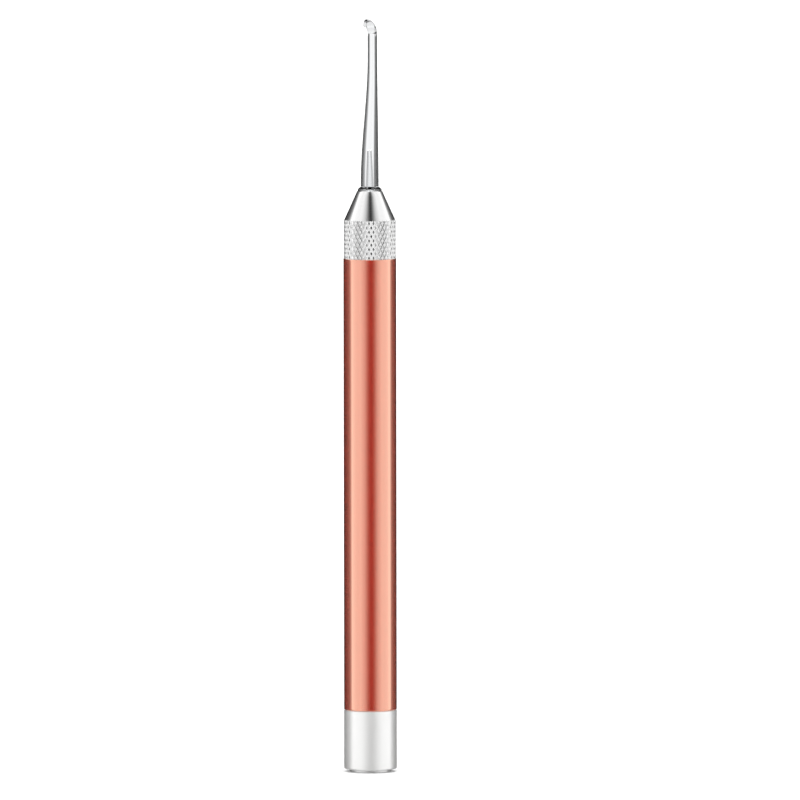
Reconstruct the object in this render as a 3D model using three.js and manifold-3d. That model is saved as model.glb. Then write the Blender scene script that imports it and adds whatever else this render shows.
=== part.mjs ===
import * as THREE from "three";
import { mergeVertices } from "three/addons/utils/BufferGeometryUtils.js";
import Module from "manifold-3d";

// Lighted ear pick: a slim aluminium tube with a screwed tail cap and a knurled head that holds a lamp.
// A clear spoon tip plugs into the nose of the head and carries the light to its scoop.
// Millimetres, +Z from the foot to the spoon, origin at the middle of the foot. The scoop opens towards -X.

// Button cells of the LR41 size, and their sleeve
const CELL_COUNT = 3;
const CELL_DIAMETER = 7.9;
const CELL_HEIGHT = 3.6;
const CELL_CORNER = 0.35;
const CAN_WALL = 0.25;
const CELL_CAP_DIAMETER = 6.2;
const CELL_CAP_STAND = 0.3;
const SEAL_WALL = 0.3;
const SEAL_CLEARANCE = 0.05;
const CELL_CLEARANCE = 0.05;
const SLEEVE_WALL = 0.15;
const SLEEVE_LIP = 0.3;
const SLEEVE_CLEARANCE = 0.05;

// Barrel
const BARREL_WALL = 0.87;
const BARREL_LENGTH = 86.9;
const BARREL_EDGE = 0.12;
const BORE_CHAMFER = 0.35;

// Screw threads at both ends of the barrel, right-handed
const THREAD_PITCH = 1.0;
const THREAD_DEPTH = 0.3;
const THREAD_RELIEF = 0.6;
const THREAD_END = 1.0;
const THREAD_CREST = 0.25;
const THREAD_FLANK = 0.15;
const THREAD_CLEARANCE = 0.1;
const THREAD_FADE = 0.25;
const THREAD_SINK = 0.2;
const GROOVE_RUN_OUT = 0.75;
const SPIGOT_LENGTH = 4.6;
const SPIGOT_EDGE = 0.25;

// Tail cap
const TAIL_CAP_LENGTH = 12.0;
const TAIL_CAP_EDGE = 0.2;
const TAIL_ROUND = 0.35;
const FOOT_STEP = 1.15;
const FOOT_HEIGHT = 0.5;
const TAIL_FLOOR = 2.4;

// Head
const COLLAR_STEP = 0.1;
const COLLAR_LENGTH = 7.28;
const CONE_LENGTH = 5.67;
const CONE_OVERLAP = 0.02;
const NOSE_WALL = 0.63;
const NOSE_EDGE = 0.1;
const KNURL_AROUND = 36;
const KNURL_ROWS = 4;
const KNURL_DEPTH = 0.28;
const KNURL_BACKING = 0.1;

// Clear tip: plug and flange
const PLUG_DIAMETER = 3.4;
const PLUG_LENGTH = 4.6;
const PLUG_EDGE = 0.3;
const PLUG_RIBS = 3;
const PLUG_RIB_HEIGHT = 0.05;
const PLUG_RIB_RADIUS = 0.25;
const PLUG_CLEARANCE = 0.08;
const FLANGE_STEP = 0.16;
const FLANGE_THICKNESS = 0.5;
const FLANGE_EDGE = 0.1;
const FLARE_LENGTH = 0.3;
const POCKET_MOUTH = 1.44;
const POCKET_END = 0.6;
const POCKET_HEIGHT = 8.0;

// Clear tip: stem and scoop, with heights above the nose
const STEM_DIAMETER = 3.46;
const SLIM_FROM = 0.8;
const SLIM_TO = 26.5;
const LEAN_FROM = 2.0;
const LEAN_TO = 25.0;
const NECK_DIAMETER = 1.82;
const NECK_OFFSET = 0.56;
const NECK_HEIGHT = 29.6;
const SCOOP_START = 0.7;
const SCOOP_RISE = 2.75;
const SCOOP_REACH = 2.08;
const SCOOP_WIDTH = 3.0;
const LIP_THICKNESS = 1.5;
const LIP_WIDTH = 1.2;
const LIP_LEAN = 0.12;
const LIP_ROUND = 0.47;
const LIP_DROP = 0.25;
const LIP_POWER = 0.5;
const BOWL_LENGTH = 2.1;
const BOWL_WIDTH = 1.4;
const BOWL_DEPTH = 0.6;
const BOWL_OUT = 0.42;
const BOWL_UP = 1.2;
const BOWL_TILT = THREE.MathUtils.degToRad(18);

// Lamp and its board
const LENS_DIAMETER = 3.0;
const LENS_HEIGHT = 5.3;
const LENS_RIM_DIAMETER = 3.8;
const LENS_RIM_HEIGHT = 1.0;
const LENS_FLAT = 1.6;
const LENS_CLEARANCE = 0.15;
const LENS_TOP_GAP = 0.95;
const LEAD_SIDE = 0.5;
const LEAD_SPACING = 2.54;
const LEAD_SOCKET = 0.9;
const LEAD_TAIL = 0.5;
const LEAD_CLEARANCE = 0.05;
const ANODE_EXTRA = 0.3;
const BOARD_DIAMETER = 6.2;
const BOARD_THICKNESS = 1.0;
const BOARD_CLEARANCE = 0.1;
const RESISTOR_SIZE = new THREE.Vector3(1.0, 0.5, 0.35);
const RESISTOR_OFFSET = 1.3;

// Springs
const TAIL_WIRE = 0.5;
const TAIL_SPRING_DIAMETER = 5.4;
const TAIL_SPRING_TURNS = 26;
const TAIL_SPRING_CLEARANCE = 0.25;
const CONTACT_WIRE = 0.4;
const CONTACT_SPRING_DIAMETER = 4.9;
const CONTACT_SPRING_TURNS = 5;
const CONTACT_SPRING_CLEARANCE = 0.35;
const END_PITCH = 1.05;
const END_CLEARANCE = 0.02;

// How finely round shapes are cut
const ROUND_SIDES = 48;
const SMALL_SIDES = 24;
const SLEEVE_SIDES = 32;
const DRILL_SIDES = 12;
const THREAD_SIDES = 24;
const CORNER_STEPS = 5;
const TIP_SIDES = 16;
const STEM_STEPS = 12;
const SCOOP_STEPS = 6;
const LIP_STEPS = 5;
const COIL_STEPS = 8;
const WIRE_SIDES = 5;
const PAST = 1;

// Radii
const sleeveInner = CELL_DIAMETER / 2 + CELL_CLEARANCE;
const sleeveOuter = sleeveInner + SLEEVE_WALL;
const boreRadius = sleeveOuter + SLEEVE_CLEARANCE;
const barrelRadius = boreRadius + BARREL_WALL;
const spigotRadius = boreRadius - THREAD_CLEARANCE;
const collarRadius = barrelRadius - COLLAR_STEP;
const footRadius = barrelRadius - FOOT_STEP;
const plugRadius = PLUG_DIAMETER / 2;
const plugBore = plugRadius + PLUG_RIB_HEIGHT + PLUG_CLEARANCE;
const noseRadius = plugBore + NOSE_WALL;
const boardBore = BOARD_DIAMETER / 2 + BOARD_CLEARANCE;
const lensBore = LENS_RIM_DIAMETER / 2 + LENS_CLEARANCE;
const threadLength = SPIGOT_LENGTH - THREAD_RELIEF - THREAD_END;
const threadTurns = Math.round((threadLength / THREAD_PITCH) * THREAD_SIDES) / THREAD_SIDES;
const tailPocket = TAIL_SPRING_DIAMETER / 2 + TAIL_SPRING_CLEARANCE;
const sleeveHole = CONTACT_SPRING_DIAMETER / 2 + CONTACT_SPRING_CLEARANCE;

// Heights along the axis
const tailShoulder = TAIL_CAP_LENGTH;
const tailSpigotEnd = tailShoulder + SPIGOT_LENGTH;
const headShoulder = tailShoulder + BARREL_LENGTH;
const headSpigotEnd = headShoulder - SPIGOT_LENGTH;
const coneBase = headShoulder + COLLAR_LENGTH;
const nose = coneBase + CONE_LENGTH;
const plugEnd = nose - PLUG_LENGTH;
const lensTop = plugEnd - LENS_TOP_GAP;
const boardTop = lensTop - LENS_HEIGHT;
const boardBottom = boardTop - BOARD_THICKNESS;
const cellTop = headSpigotEnd - SLEEVE_LIP;
const cellBottom = cellTop - CELL_COUNT * CELL_HEIGHT;

const wasm = await Module();
wasm.setup();

// A closed geometry as a solid that can be joined and cut.
function solid(geometry) {
  const bare = geometry.clone();
  bare.deleteAttribute("normal");
  bare.deleteAttribute("uv");
  const merged = mergeVertices(bare, 1e-5);
  return new wasm.Manifold(
    new wasm.Mesh({
      numProp: 3,
      vertProperties: merged.attributes.position.array,
      triVerts: new Uint32Array(merged.index.array),
    }),
  );
}

// A solid back as a geometry with flat faces.
function geometryOf(made) {
  const mesh = made.getMesh();
  const geometry = new THREE.BufferGeometry();
  geometry.setAttribute("position", new THREE.BufferAttribute(mesh.vertProperties, 3));
  geometry.setIndex(new THREE.BufferAttribute(mesh.triVerts, 1));
  const flat = geometry.toNonIndexed();
  flat.computeVertexNormals();
  return flat;
}

// A shape turned about Z from points of radius and height, with the material on the left of their path.
function turned(points, sides = SMALL_SIDES) {
  const profile = points.map(([radius, height]) => new THREE.Vector2(radius, height));
  return new THREE.LatheGeometry(profile, sides).rotateX(Math.PI / 2);
}

// A turned ring or tube, whose profile closes on itself.
function turnedRing(points, sides) {
  return turned([...points, points[0]], sides);
}

// A round bar along Z, with a bevel at each end.
function bar(radius, from, to, sides = SMALL_SIDES, fromBevel = 0, toBevel = 0) {
  return turned(
    [
      [0, from],
      [radius - fromBevel, from],
      ...(fromBevel ? [[radius, from + fromBevel]] : []),
      [radius, to - toBevel],
      ...(toBevel ? [[radius - toBevel, to]] : []),
      [0, to],
    ],
    sides,
  );
}

// A block by its size and its middle.
function block(size, middle) {
  return new THREE.BoxGeometry(size.x, size.y, size.z).translate(middle.x, middle.y, middle.z);
}

// Points of a round corner in a profile, between two angles in degrees.
function corner(radius, height, round, from, to, steps = CORNER_STEPS) {
  return Array.from({ length: steps + 1 }, (_, i) => {
    const angle = THREE.MathUtils.degToRad(THREE.MathUtils.lerp(from, to, i / steps));
    return [radius + round * Math.cos(angle), height + round * Math.sin(angle)];
  });
}

// The middle of a ring of points.
function middleOf(ring) {
  return ring.reduce((sum, point) => sum.add(point), new THREE.Vector3()).divideScalar(ring.length);
}

// A closed skin over rings of points. Each ring runs anticlockwise seen from the last ring's end.
// With crossed, the quads are split by turns along one diagonal and the other.
function loft(rings, crossed = false) {
  const count = rings[0].length;
  const last = rings.length - 1;
  const points = [...rings.flat(), middleOf(rings[0]), middleOf(rings[last])];
  const firstMiddle = points.length - 2;
  const lastMiddle = points.length - 1;
  const index = [];
  for (let j = 0; j < count; j += 1) {
    const next = (j + 1) % count;
    index.push(firstMiddle, next, j);
    index.push(lastMiddle, last * count + j, last * count + next);
    for (let i = 0; i < last; i += 1) {
      const a = i * count + j;
      const b = i * count + next;
      const c = b + count;
      const d = a + count;
      if (crossed && (i + j) % 2 === 0) {
        index.push(a, b, d, b, c, d);
      } else {
        index.push(a, b, c, a, c, d);
      }
    }
  }
  const geometry = new THREE.BufferGeometry().setFromPoints(points);
  geometry.setIndex(index);
  return geometry;
}

// A helical ridge between two counts of turns, whose middle is at height zero on turn 0.
// Its crest rises out of the surface over the first part of a turn, and sinks back over the last.
function threadRidge(zero, fromTurn, toTurn, surface, grow) {
  const steps = Math.round((toTurn - fromTurn) * THREAD_SIDES);
  const crest = THREAD_CREST / 2 + grow;
  const root = crest + THREAD_FLANK;
  const base = surface - THREAD_DEPTH;
  const rings = Array.from({ length: steps + 1 }, (_, i) => {
    const turn = fromTurn + i / THREAD_SIDES;
    const fade = Math.min(1, (turn - fromTurn) / THREAD_FADE, (steps - i) / THREAD_SIDES / THREAD_FADE);
    const top = surface + THREE.MathUtils.lerp(-THREAD_SINK, THREAD_DEPTH, fade);
    const height = zero + THREAD_PITCH * turn;
    const section = [
      [base, height - root],
      [base, height + root],
      [top, height + crest],
      [top, height - crest],
    ];
    const angle = turn * 2 * Math.PI;
    return section.map(([r, z]) => new THREE.Vector3(r * Math.cos(angle), r * Math.sin(angle), z));
  });
  return loft(rings);
}

// The thread that stands out of a spigot.
function spigotThread(zero, fromTurn, toTurn) {
  return solid(threadRidge(zero, fromTurn, toTurn, spigotRadius, 0));
}

// The groove in the bore for the same thread, larger by the clearance all round.
function boreGroove(zero, fromTurn, toTurn) {
  return solid(threadRidge(zero, fromTurn, toTurn, boreRadius, THREAD_CLEARANCE));
}

// The barrel: a tube with bevelled mouths and a thread groove cut into the bore at each end.
function barrelGeometry() {
  const mouth = boreRadius + BORE_CHAMFER;
  const bore = turned([
    [0, tailShoulder - PAST],
    [mouth, tailShoulder - PAST],
    [mouth, tailShoulder],
    [boreRadius, tailShoulder + BORE_CHAMFER],
    [boreRadius, headShoulder - BORE_CHAMFER],
    [mouth, headShoulder],
    [mouth, headShoulder + PAST],
    [0, headShoulder + PAST],
  ]);
  const outside = bar(barrelRadius, tailShoulder, headShoulder, ROUND_SIDES, BARREL_EDGE, BARREL_EDGE);
  const entry = Math.ceil(THREAD_RELIEF / THREAD_PITCH) + GROOVE_RUN_OUT;
  const depth = threadTurns + GROOVE_RUN_OUT;
  return geometryOf(
    solid(outside)
      .subtract(solid(bore))
      .subtract(boreGroove(tailShoulder + THREAD_RELIEF, -entry, depth))
      .subtract(boreGroove(headShoulder - THREAD_RELIEF, -depth, entry)),
  );
}

// The tail cap, turned from bar: a foot, a rounded edge, a threaded spigot and a pocket for the spring.
function tailCapGeometry() {
  const body = turned(
    [
      [0, 0],
      [footRadius, 0],
      [footRadius, FOOT_HEIGHT],
      ...corner(barrelRadius - TAIL_ROUND, FOOT_HEIGHT + TAIL_ROUND, TAIL_ROUND, -90, 0),
      [barrelRadius, tailShoulder - TAIL_CAP_EDGE],
      [barrelRadius - TAIL_CAP_EDGE, tailShoulder],
      [0, tailShoulder],
    ],
    ROUND_SIDES,
  );
  const spigot = bar(spigotRadius, TAIL_FLOOR, tailSpigotEnd, THREAD_SIDES, 0, SPIGOT_EDGE);
  const pocket = bar(tailPocket, TAIL_FLOOR, tailSpigotEnd + PAST);
  return geometryOf(
    solid(body)
      .add(solid(spigot))
      .add(spigotThread(tailShoulder + THREAD_RELIEF, 0, threadTurns))
      .subtract(solid(pocket)),
  );
}

// The knurl: a band of four-sided pyramids between two crossing sets of grooves.
function knurlBand() {
  const columns = KNURL_AROUND * 2;
  const rows = KNURL_ROWS * 2;
  const rings = Array.from({ length: rows + 1 }, (_, i) =>
    Array.from({ length: columns }, (_, j) => {
      const angle = (j / columns) * 2 * Math.PI;
      const radius = (i + j) % 2 === 0 ? collarRadius : collarRadius - KNURL_DEPTH;
      const height = headShoulder + (COLLAR_LENGTH * i) / rows;
      return new THREE.Vector3(radius * Math.cos(angle), radius * Math.sin(angle), height);
    }),
  );
  return loft(rings, true);
}

// The head: spigot, knurled collar and cone, bored in steps for the board, the lamp and the tip's plug.
function headGeometry() {
  const backing = collarRadius - KNURL_DEPTH - KNURL_BACKING;
  const cone = turned(
    [
      [0, headShoulder + CONE_OVERLAP],
      [backing, headShoulder + CONE_OVERLAP],
      [backing, coneBase - CONE_OVERLAP],
      [collarRadius, coneBase - CONE_OVERLAP],
      [noseRadius, nose - NOSE_EDGE],
      [noseRadius - NOSE_EDGE, nose],
      [0, nose],
    ],
    ROUND_SIDES,
  );
  const spigot = bar(spigotRadius, headSpigotEnd, boardTop, THREAD_SIDES, SPIGOT_EDGE);
  const lensEnd = lensTop + LENS_TOP_GAP / 2;
  const bores = turned([
    [0, headSpigotEnd - PAST],
    [boardBore, headSpigotEnd - PAST],
    [boardBore, boardTop],
    [lensBore, boardTop],
    [lensBore, lensEnd],
    [plugBore, lensEnd],
    [plugBore, nose + PAST],
    [0, nose + PAST],
  ]);
  return geometryOf(
    solid(cone)
      .add(solid(knurlBand()))
      .add(solid(spigot))
      .add(spigotThread(headShoulder - THREAD_RELIEF, -threadTurns, 0))
      .subtract(solid(bores)),
  );
}

// A point of the tip in the plane of its bend, by its height above the nose.
function tipPoint(x, height) {
  return new THREE.Vector3(x, 0, nose + height);
}

// One oval section of the tip between an inner and an outer point.
function tipSection(inner, outer, halfWidth) {
  const middle = inner.clone().lerp(outer, 0.5);
  const reach = outer.clone().sub(middle);
  return Array.from({ length: TIP_SIDES }, (_, k) => {
    const angle = (k / TIP_SIDES) * 2 * Math.PI;
    const point = middle.clone().addScaledVector(reach, Math.cos(angle));
    point.y = halfWidth * Math.sin(angle);
    return point;
  });
}

// The stem's sections: it slims towards the neck and leans to one side.
function stemSections() {
  return Array.from({ length: STEM_STEPS + 1 }, (_, i) => {
    const height = THREE.MathUtils.lerp(FLANGE_THICKNESS / 2, NECK_HEIGHT, i / STEM_STEPS);
    const slim = THREE.MathUtils.smoothstep(height, SLIM_FROM, SLIM_TO);
    const half = THREE.MathUtils.lerp(STEM_DIAMETER, NECK_DIAMETER, slim) / 2;
    const lean = NECK_OFFSET * THREE.MathUtils.smoothstep(height, LEAN_FROM, LEAN_TO);
    return tipSection(tipPoint(lean - half, height), tipPoint(lean + half, height), half);
  });
}

// The scoop's sections: its back follows a quarter of an ellipse, and it swells before the lip.
function scoopSections() {
  const neckHalf = NECK_DIAMETER / 2;
  const lipHalf = LIP_WIDTH / 2;
  const swell = SCOOP_WIDTH - (neckHalf + lipHalf) / 2;
  const start = NECK_HEIGHT + SCOOP_START;
  const backX = NECK_OFFSET + neckHalf - SCOOP_REACH;
  const innerStart = tipPoint(NECK_OFFSET - neckHalf, start);
  const innerEnd = tipPoint(backX - LIP_LEAN, start + SCOOP_RISE - LIP_THICKNESS);
  return Array.from({ length: SCOOP_STEPS + 1 }, (_, i) => {
    const t = i / SCOOP_STEPS;
    const angle = (t * Math.PI) / 2;
    const outer = tipPoint(backX + SCOOP_REACH * Math.cos(angle), start + SCOOP_RISE * Math.sin(angle));
    const half = neckHalf * (1 - t) ** 2 + 2 * swell * t * (1 - t) + lipHalf * t ** 2;
    return tipSection(innerStart.clone().lerp(innerEnd, t), outer, half);
  });
}

// The lip that closes the last section of the scoop. It points down, and a power below 1 makes it squarer.
function lipSections(end) {
  const middle = middleOf(end);
  const out = new THREE.Vector3(-LIP_ROUND, 0, -LIP_DROP);
  return Array.from({ length: LIP_STEPS }, (_, i) => {
    const angle = ((i + 1) / (LIP_STEPS + 0.5)) * (Math.PI / 2);
    const moved = middle.clone().addScaledVector(out, Math.sin(angle) ** LIP_POWER);
    const narrow = Math.cos(angle) ** LIP_POWER;
    return end.map((point) => point.clone().sub(middle).multiplyScalar(narrow).add(moved));
  });
}

// The hollow of the scoop.
function bowl() {
  const middle = tipPoint(NECK_OFFSET - NECK_DIAMETER / 2 - BOWL_OUT, NECK_HEIGHT + BOWL_UP);
  return new THREE.SphereGeometry(1, TIP_SIDES, TIP_SIDES / 2)
    .scale(BOWL_DEPTH, BOWL_WIDTH / 2, BOWL_LENGTH / 2)
    .rotateY(-BOWL_TILT)
    .translate(middle.x, middle.y, middle.z);
}

// The clear tip: plug, flange and flare in one with the stem, with a tapered blind pocket up its middle.
function tipGeometry() {
  const flange = noseRadius - FLANGE_STEP;
  const flangeTop = nose + FLANGE_THICKNESS;
  const base = turned([
    [0, plugEnd],
    [plugRadius - PLUG_EDGE, plugEnd],
    [plugRadius, plugEnd + PLUG_EDGE],
    [plugRadius, nose],
    [flange - FLANGE_EDGE, nose],
    [flange, nose + FLANGE_EDGE],
    [flange, flangeTop - FLANGE_EDGE],
    [flange - FLANGE_EDGE, flangeTop],
    [STEM_DIAMETER / 2, flangeTop + FLARE_LENGTH],
    [0, flangeTop + FLARE_LENGTH],
  ]);
  const mouth = POCKET_MOUTH / 2;
  const end = POCKET_END / 2;
  const pocket = turned(
    [
      [0, plugEnd - PAST],
      [mouth, plugEnd - PAST],
      [mouth, plugEnd],
      ...corner(0, nose + POCKET_HEIGHT - end, end, 0, 90),
    ],
    TIP_SIDES,
  );
  const stem = stemSections();
  const scoop = scoopSections();
  const lip = lipSections(scoop[SCOOP_STEPS]);
  let tip = solid(base).add(solid(loft([...stem, ...scoop, ...lip])));
  for (let i = 0; i < PLUG_RIBS; i += 1) {
    const angle = (i / PLUG_RIBS) * 2 * Math.PI;
    const out = plugRadius + PLUG_RIB_HEIGHT - PLUG_RIB_RADIUS;
    const rib = bar(PLUG_RIB_RADIUS, plugEnd + PLUG_EDGE, nose - PLUG_EDGE, DRILL_SIDES);
    tip = tip.add(solid(rib.translate(out * Math.cos(angle), out * Math.sin(angle), 0)));
  }
  return geometryOf(tip.subtract(solid(pocket)).subtract(solid(bowl())));
}

// The lamp's body: a domed cylinder on a rim with one flat, and a socket for each lead.
function lensGeometry() {
  const radius = LENS_DIAMETER / 2;
  const rim = LENS_RIM_DIAMETER / 2;
  const body = turned([
    [0, boardTop],
    [rim, boardTop],
    [rim, boardTop + LENS_RIM_HEIGHT],
    [radius, boardTop + LENS_RIM_HEIGHT],
    ...corner(0, lensTop - radius, radius, 0, 90),
  ]);
  const flat = block(
    new THREE.Vector3(rim, 2 * rim, LENS_RIM_HEIGHT),
    new THREE.Vector3(-LENS_FLAT - rim / 2, 0, boardTop + LENS_RIM_HEIGHT / 2),
  );
  const width = LEAD_SIDE + 2 * LEAD_CLEARANCE;
  const size = new THREE.Vector3(width, width, 2 * LEAD_SOCKET);
  let lens = solid(body).subtract(solid(flat));
  for (const x of [-LEAD_SPACING / 2, LEAD_SPACING / 2]) {
    lens = lens.subtract(solid(block(size, new THREE.Vector3(x, 0, boardTop))));
  }
  return geometryOf(lens);
}

// A square lead from its socket in the lamp to a stub behind the board.
function leadGeometry(x, tail) {
  const top = boardTop + LEAD_SOCKET - LEAD_CLEARANCE;
  const bottom = boardBottom - tail;
  const size = new THREE.Vector3(LEAD_SIDE, LEAD_SIDE, top - bottom);
  return block(size, new THREE.Vector3(x, 0, (top + bottom) / 2));
}

// The round board with a hole for each lead.
function boardGeometry() {
  const hole = LEAD_SIDE * Math.SQRT1_2 + LEAD_CLEARANCE;
  let board = solid(bar(BOARD_DIAMETER / 2, boardBottom, boardTop));
  for (const x of [-LEAD_SPACING / 2, LEAD_SPACING / 2]) {
    const drill = bar(hole, boardBottom - PAST, boardTop + PAST, DRILL_SIDES);
    board = board.subtract(solid(drill.translate(x, 0, 0)));
  }
  return geometryOf(board);
}

// The resistor on the back of the board, beside the leads.
function resistorGeometry() {
  return block(RESISTOR_SIZE, new THREE.Vector3(0, RESISTOR_OFFSET, boardBottom - RESISTOR_SIZE.z / 2));
}

// The insulating sleeve, with a lip between the first cell and the spigot of the head.
function sleeveGeometry() {
  return turnedRing(
    [
      [sleeveHole, cellTop],
      [sleeveInner, cellTop],
      [sleeveInner, cellBottom],
      [sleeveOuter, cellBottom],
      [sleeveOuter, headSpigotEnd],
      [sleeveHole, headSpigotEnd],
    ],
    SLEEVE_SIDES,
  );
}

// A cell's can: a cup with its flat positive face up.
function canGeometry(base) {
  const radius = CELL_DIAMETER / 2;
  const top = base + CELL_HEIGHT;
  return turned([
    [0, top - CAN_WALL],
    [radius - CAN_WALL, top - CAN_WALL],
    [radius - CAN_WALL, base + CELL_CAP_STAND],
    [radius, base + CELL_CAP_STAND],
    ...corner(radius - CELL_CORNER, top - CELL_CORNER, CELL_CORNER, 0, 90),
    [0, top],
  ]);
}

// The ring that seals the cap in the can.
function sealGeometry(base) {
  const outer = CELL_DIAMETER / 2 - CAN_WALL - SEAL_CLEARANCE;
  const inner = outer - SEAL_WALL;
  const top = base + CELL_HEIGHT - CAN_WALL;
  return turnedRing([
    [inner, base + CELL_CAP_STAND],
    [outer, base + CELL_CAP_STAND],
    [outer, top],
    [inner, top],
  ]);
}

// A cell's cap with its filling as one solid, whose outer face is the negative one.
function cellCapGeometry(base) {
  const wide = CELL_DIAMETER / 2 - CAN_WALL - SEAL_WALL - 2 * SEAL_CLEARANCE;
  const narrow = CELL_CAP_DIAMETER / 2;
  const step = base + 2 * CELL_CAP_STAND;
  const top = base + CELL_HEIGHT - CAN_WALL;
  return turned([
    [0, base],
    [narrow, base],
    [narrow, step],
    [wide, step],
    [wide, top],
    [0, top],
  ]);
}

// The least gap between the turns of a coil, measured on the points of its middle line.
function leastGap(path, wire) {
  const apart = COIL_STEPS / 2;
  let least = Infinity;
  for (let i = 0; i < path.length; i += 1) {
    for (let j = i + apart; j < path.length; j += 1) {
      least = Math.min(least, path[i].distanceTo(path[j]) - wire);
    }
  }
  return least;
}

// A coil spring of round wire between two flat faces, with closer turns at both ends.
function coilGeometry(name, diameter, wire, turns, from, to) {
  const mean = (diameter - wire) / 2;
  const bottom = from + wire / 2 + END_CLEARANCE;
  const top = to - wire / 2 - END_CLEARANCE;
  const pitch = (top - bottom - 2 * END_PITCH) / (turns - 2);
  const path = Array.from({ length: turns * COIL_STEPS + 1 }, (_, i) => {
    const turn = i / COIL_STEPS;
    const ends = Math.min(turn, 1) + Math.max(0, turn - turns + 1);
    const height = bottom + END_PITCH * ends + pitch * (turn - ends);
    const angle = turn * 2 * Math.PI;
    return new THREE.Vector3(mean * Math.cos(angle), mean * Math.sin(angle), height);
  });
  console.log(`${name} least gap ${leastGap(path, wire).toFixed(2)} mm`);
  const rings = path.map((point) => {
    const out = new THREE.Vector3(point.x, point.y, 0).normalize();
    return Array.from({ length: WIRE_SIDES }, (_, k) => {
      const angle = (k / WIRE_SIDES) * -2 * Math.PI;
      const place = point.clone().addScaledVector(out, (wire / 2) * Math.cos(angle));
      place.z += (wire / 2) * Math.sin(angle);
      return place;
    });
  });
  return loft(rings);
}

// The long spring from the pocket of the tail cap to the last cell.
function tailSpringGeometry() {
  return coilGeometry(
    "tail_spring",
    TAIL_SPRING_DIAMETER,
    TAIL_WIRE,
    TAIL_SPRING_TURNS,
    TAIL_FLOOR,
    cellBottom,
  );
}

// The short spring from the first cell to the board.
function contactSpringGeometry() {
  return coilGeometry(
    "contact_spring",
    CONTACT_SPRING_DIAMETER,
    CONTACT_WIRE,
    CONTACT_SPRING_TURNS,
    cellTop,
    boardBottom,
  );
}

// A named piece with a finish of its own.
function piece(name, geometry, color, roughness, metalness) {
  const mesh = new THREE.Mesh(geometry, new THREE.MeshStandardMaterial({ color, roughness, metalness }));
  mesh.name = name;
  return mesh;
}

const earPick = new THREE.Group();
earPick.add(
  piece("ear_spoon_tip", tipGeometry(), 0xf4f6f8, 0.05, 0),
  piece("knurled_head", headGeometry(), 0xd4d6d8, 0.2, 1),
  piece("barrel", barrelGeometry(), 0xd9816b, 0.2, 0.9),
  piece("tail_cap", tailCapGeometry(), 0xcfd0d0, 0.35, 1),
  piece("led_lens", lensGeometry(), 0xf2f5ff, 0.05, 0),
  piece("led_anode_lead", leadGeometry(LEAD_SPACING / 2, LEAD_TAIL + ANODE_EXTRA), 0xc8c8c4, 0.35, 1),
  piece("led_cathode_lead", leadGeometry(-LEAD_SPACING / 2, LEAD_TAIL), 0xc8c8c4, 0.35, 1),
  piece("led_board", boardGeometry(), 0x1f5a36, 0.5, 0),
  piece("chip_resistor", resistorGeometry(), 0x222326, 0.4, 0),
  piece("contact_spring", contactSpringGeometry(), 0xb9bcc0, 0.3, 1),
  piece("cell_sleeve", sleeveGeometry(), 0xf0efe8, 0.45, 0),
  piece("tail_spring", tailSpringGeometry(), 0xb9bcc0, 0.3, 1),
);
for (let i = 1; i <= CELL_COUNT; i += 1) {
  const base = cellTop - i * CELL_HEIGHT;
  earPick.add(
    piece(`cell_${i}_can`, canGeometry(base), 0xc9cbcc, 0.25, 1),
    piece(`cell_${i}_seal`, sealGeometry(base), 0x4a4d50, 0.6, 0),
    piece(`cell_${i}_cap`, cellCapGeometry(base), 0xbfc0bd, 0.35, 1),
  );
}

export default earPick;
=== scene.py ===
"""Lighted ear pick: finishes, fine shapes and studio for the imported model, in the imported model's frame.

Sizes are millimetres in the dataclasses and metres once they reach a mesh.
"""

import logging
import math
from collections.abc import Callable
from dataclasses import dataclass
from enum import Enum

import bpy
from mathutils import Matrix, Vector


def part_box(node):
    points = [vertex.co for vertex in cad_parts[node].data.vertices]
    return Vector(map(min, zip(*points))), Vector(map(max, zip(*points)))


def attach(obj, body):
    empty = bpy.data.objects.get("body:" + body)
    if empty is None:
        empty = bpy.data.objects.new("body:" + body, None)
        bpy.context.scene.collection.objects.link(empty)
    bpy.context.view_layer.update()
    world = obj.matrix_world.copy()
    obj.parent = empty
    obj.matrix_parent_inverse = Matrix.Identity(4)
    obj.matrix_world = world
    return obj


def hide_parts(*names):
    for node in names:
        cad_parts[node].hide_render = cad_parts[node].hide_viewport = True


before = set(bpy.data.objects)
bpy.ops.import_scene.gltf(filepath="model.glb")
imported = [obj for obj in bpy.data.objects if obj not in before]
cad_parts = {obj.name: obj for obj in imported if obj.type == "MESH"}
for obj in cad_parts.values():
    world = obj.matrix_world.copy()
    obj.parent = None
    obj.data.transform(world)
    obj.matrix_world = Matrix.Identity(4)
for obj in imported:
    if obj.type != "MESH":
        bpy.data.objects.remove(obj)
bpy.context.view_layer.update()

LOG = logging.getLogger("ear_pick")
MM = 0.001
FULL_TURN = 2 * math.pi
SMOOTH_BELOW = math.radians(24)
LAND = 0.15  # Millimetres of side beside a round edge, so that the long faces shade straight.
SIDES = 128
THREAD_ROWS_PER_PITCH = 12
RIGHT_ANGLE = 90
POLE_STEP = 10  # Degrees from the pole of a round end to its first ring.
MATT = 0.8  # Roughness of light that is scattered and not mirrored.
KNURL_DEPTH = 0.12  # Millimetres from the tops of the knurl to the bottoms of its grooves.

Tree = bpy.types.NodeTree
Socket = bpy.types.NodeSocket
Piece = bpy.types.Object
Radius = float | Callable[[float], float]
Profile = list[tuple[Radius, float]]
Rise = Callable[[float, float], float]
Ring = list[Vector]
Stops = tuple[tuple[float, float], ...]


class Body(Enum):
    """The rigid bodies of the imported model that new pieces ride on."""

    BARREL = "barrel"
    TAIL_CAP = "tail_cap"
    HEAD = "head"
    EAR_TIP = "ear_tip"


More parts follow.
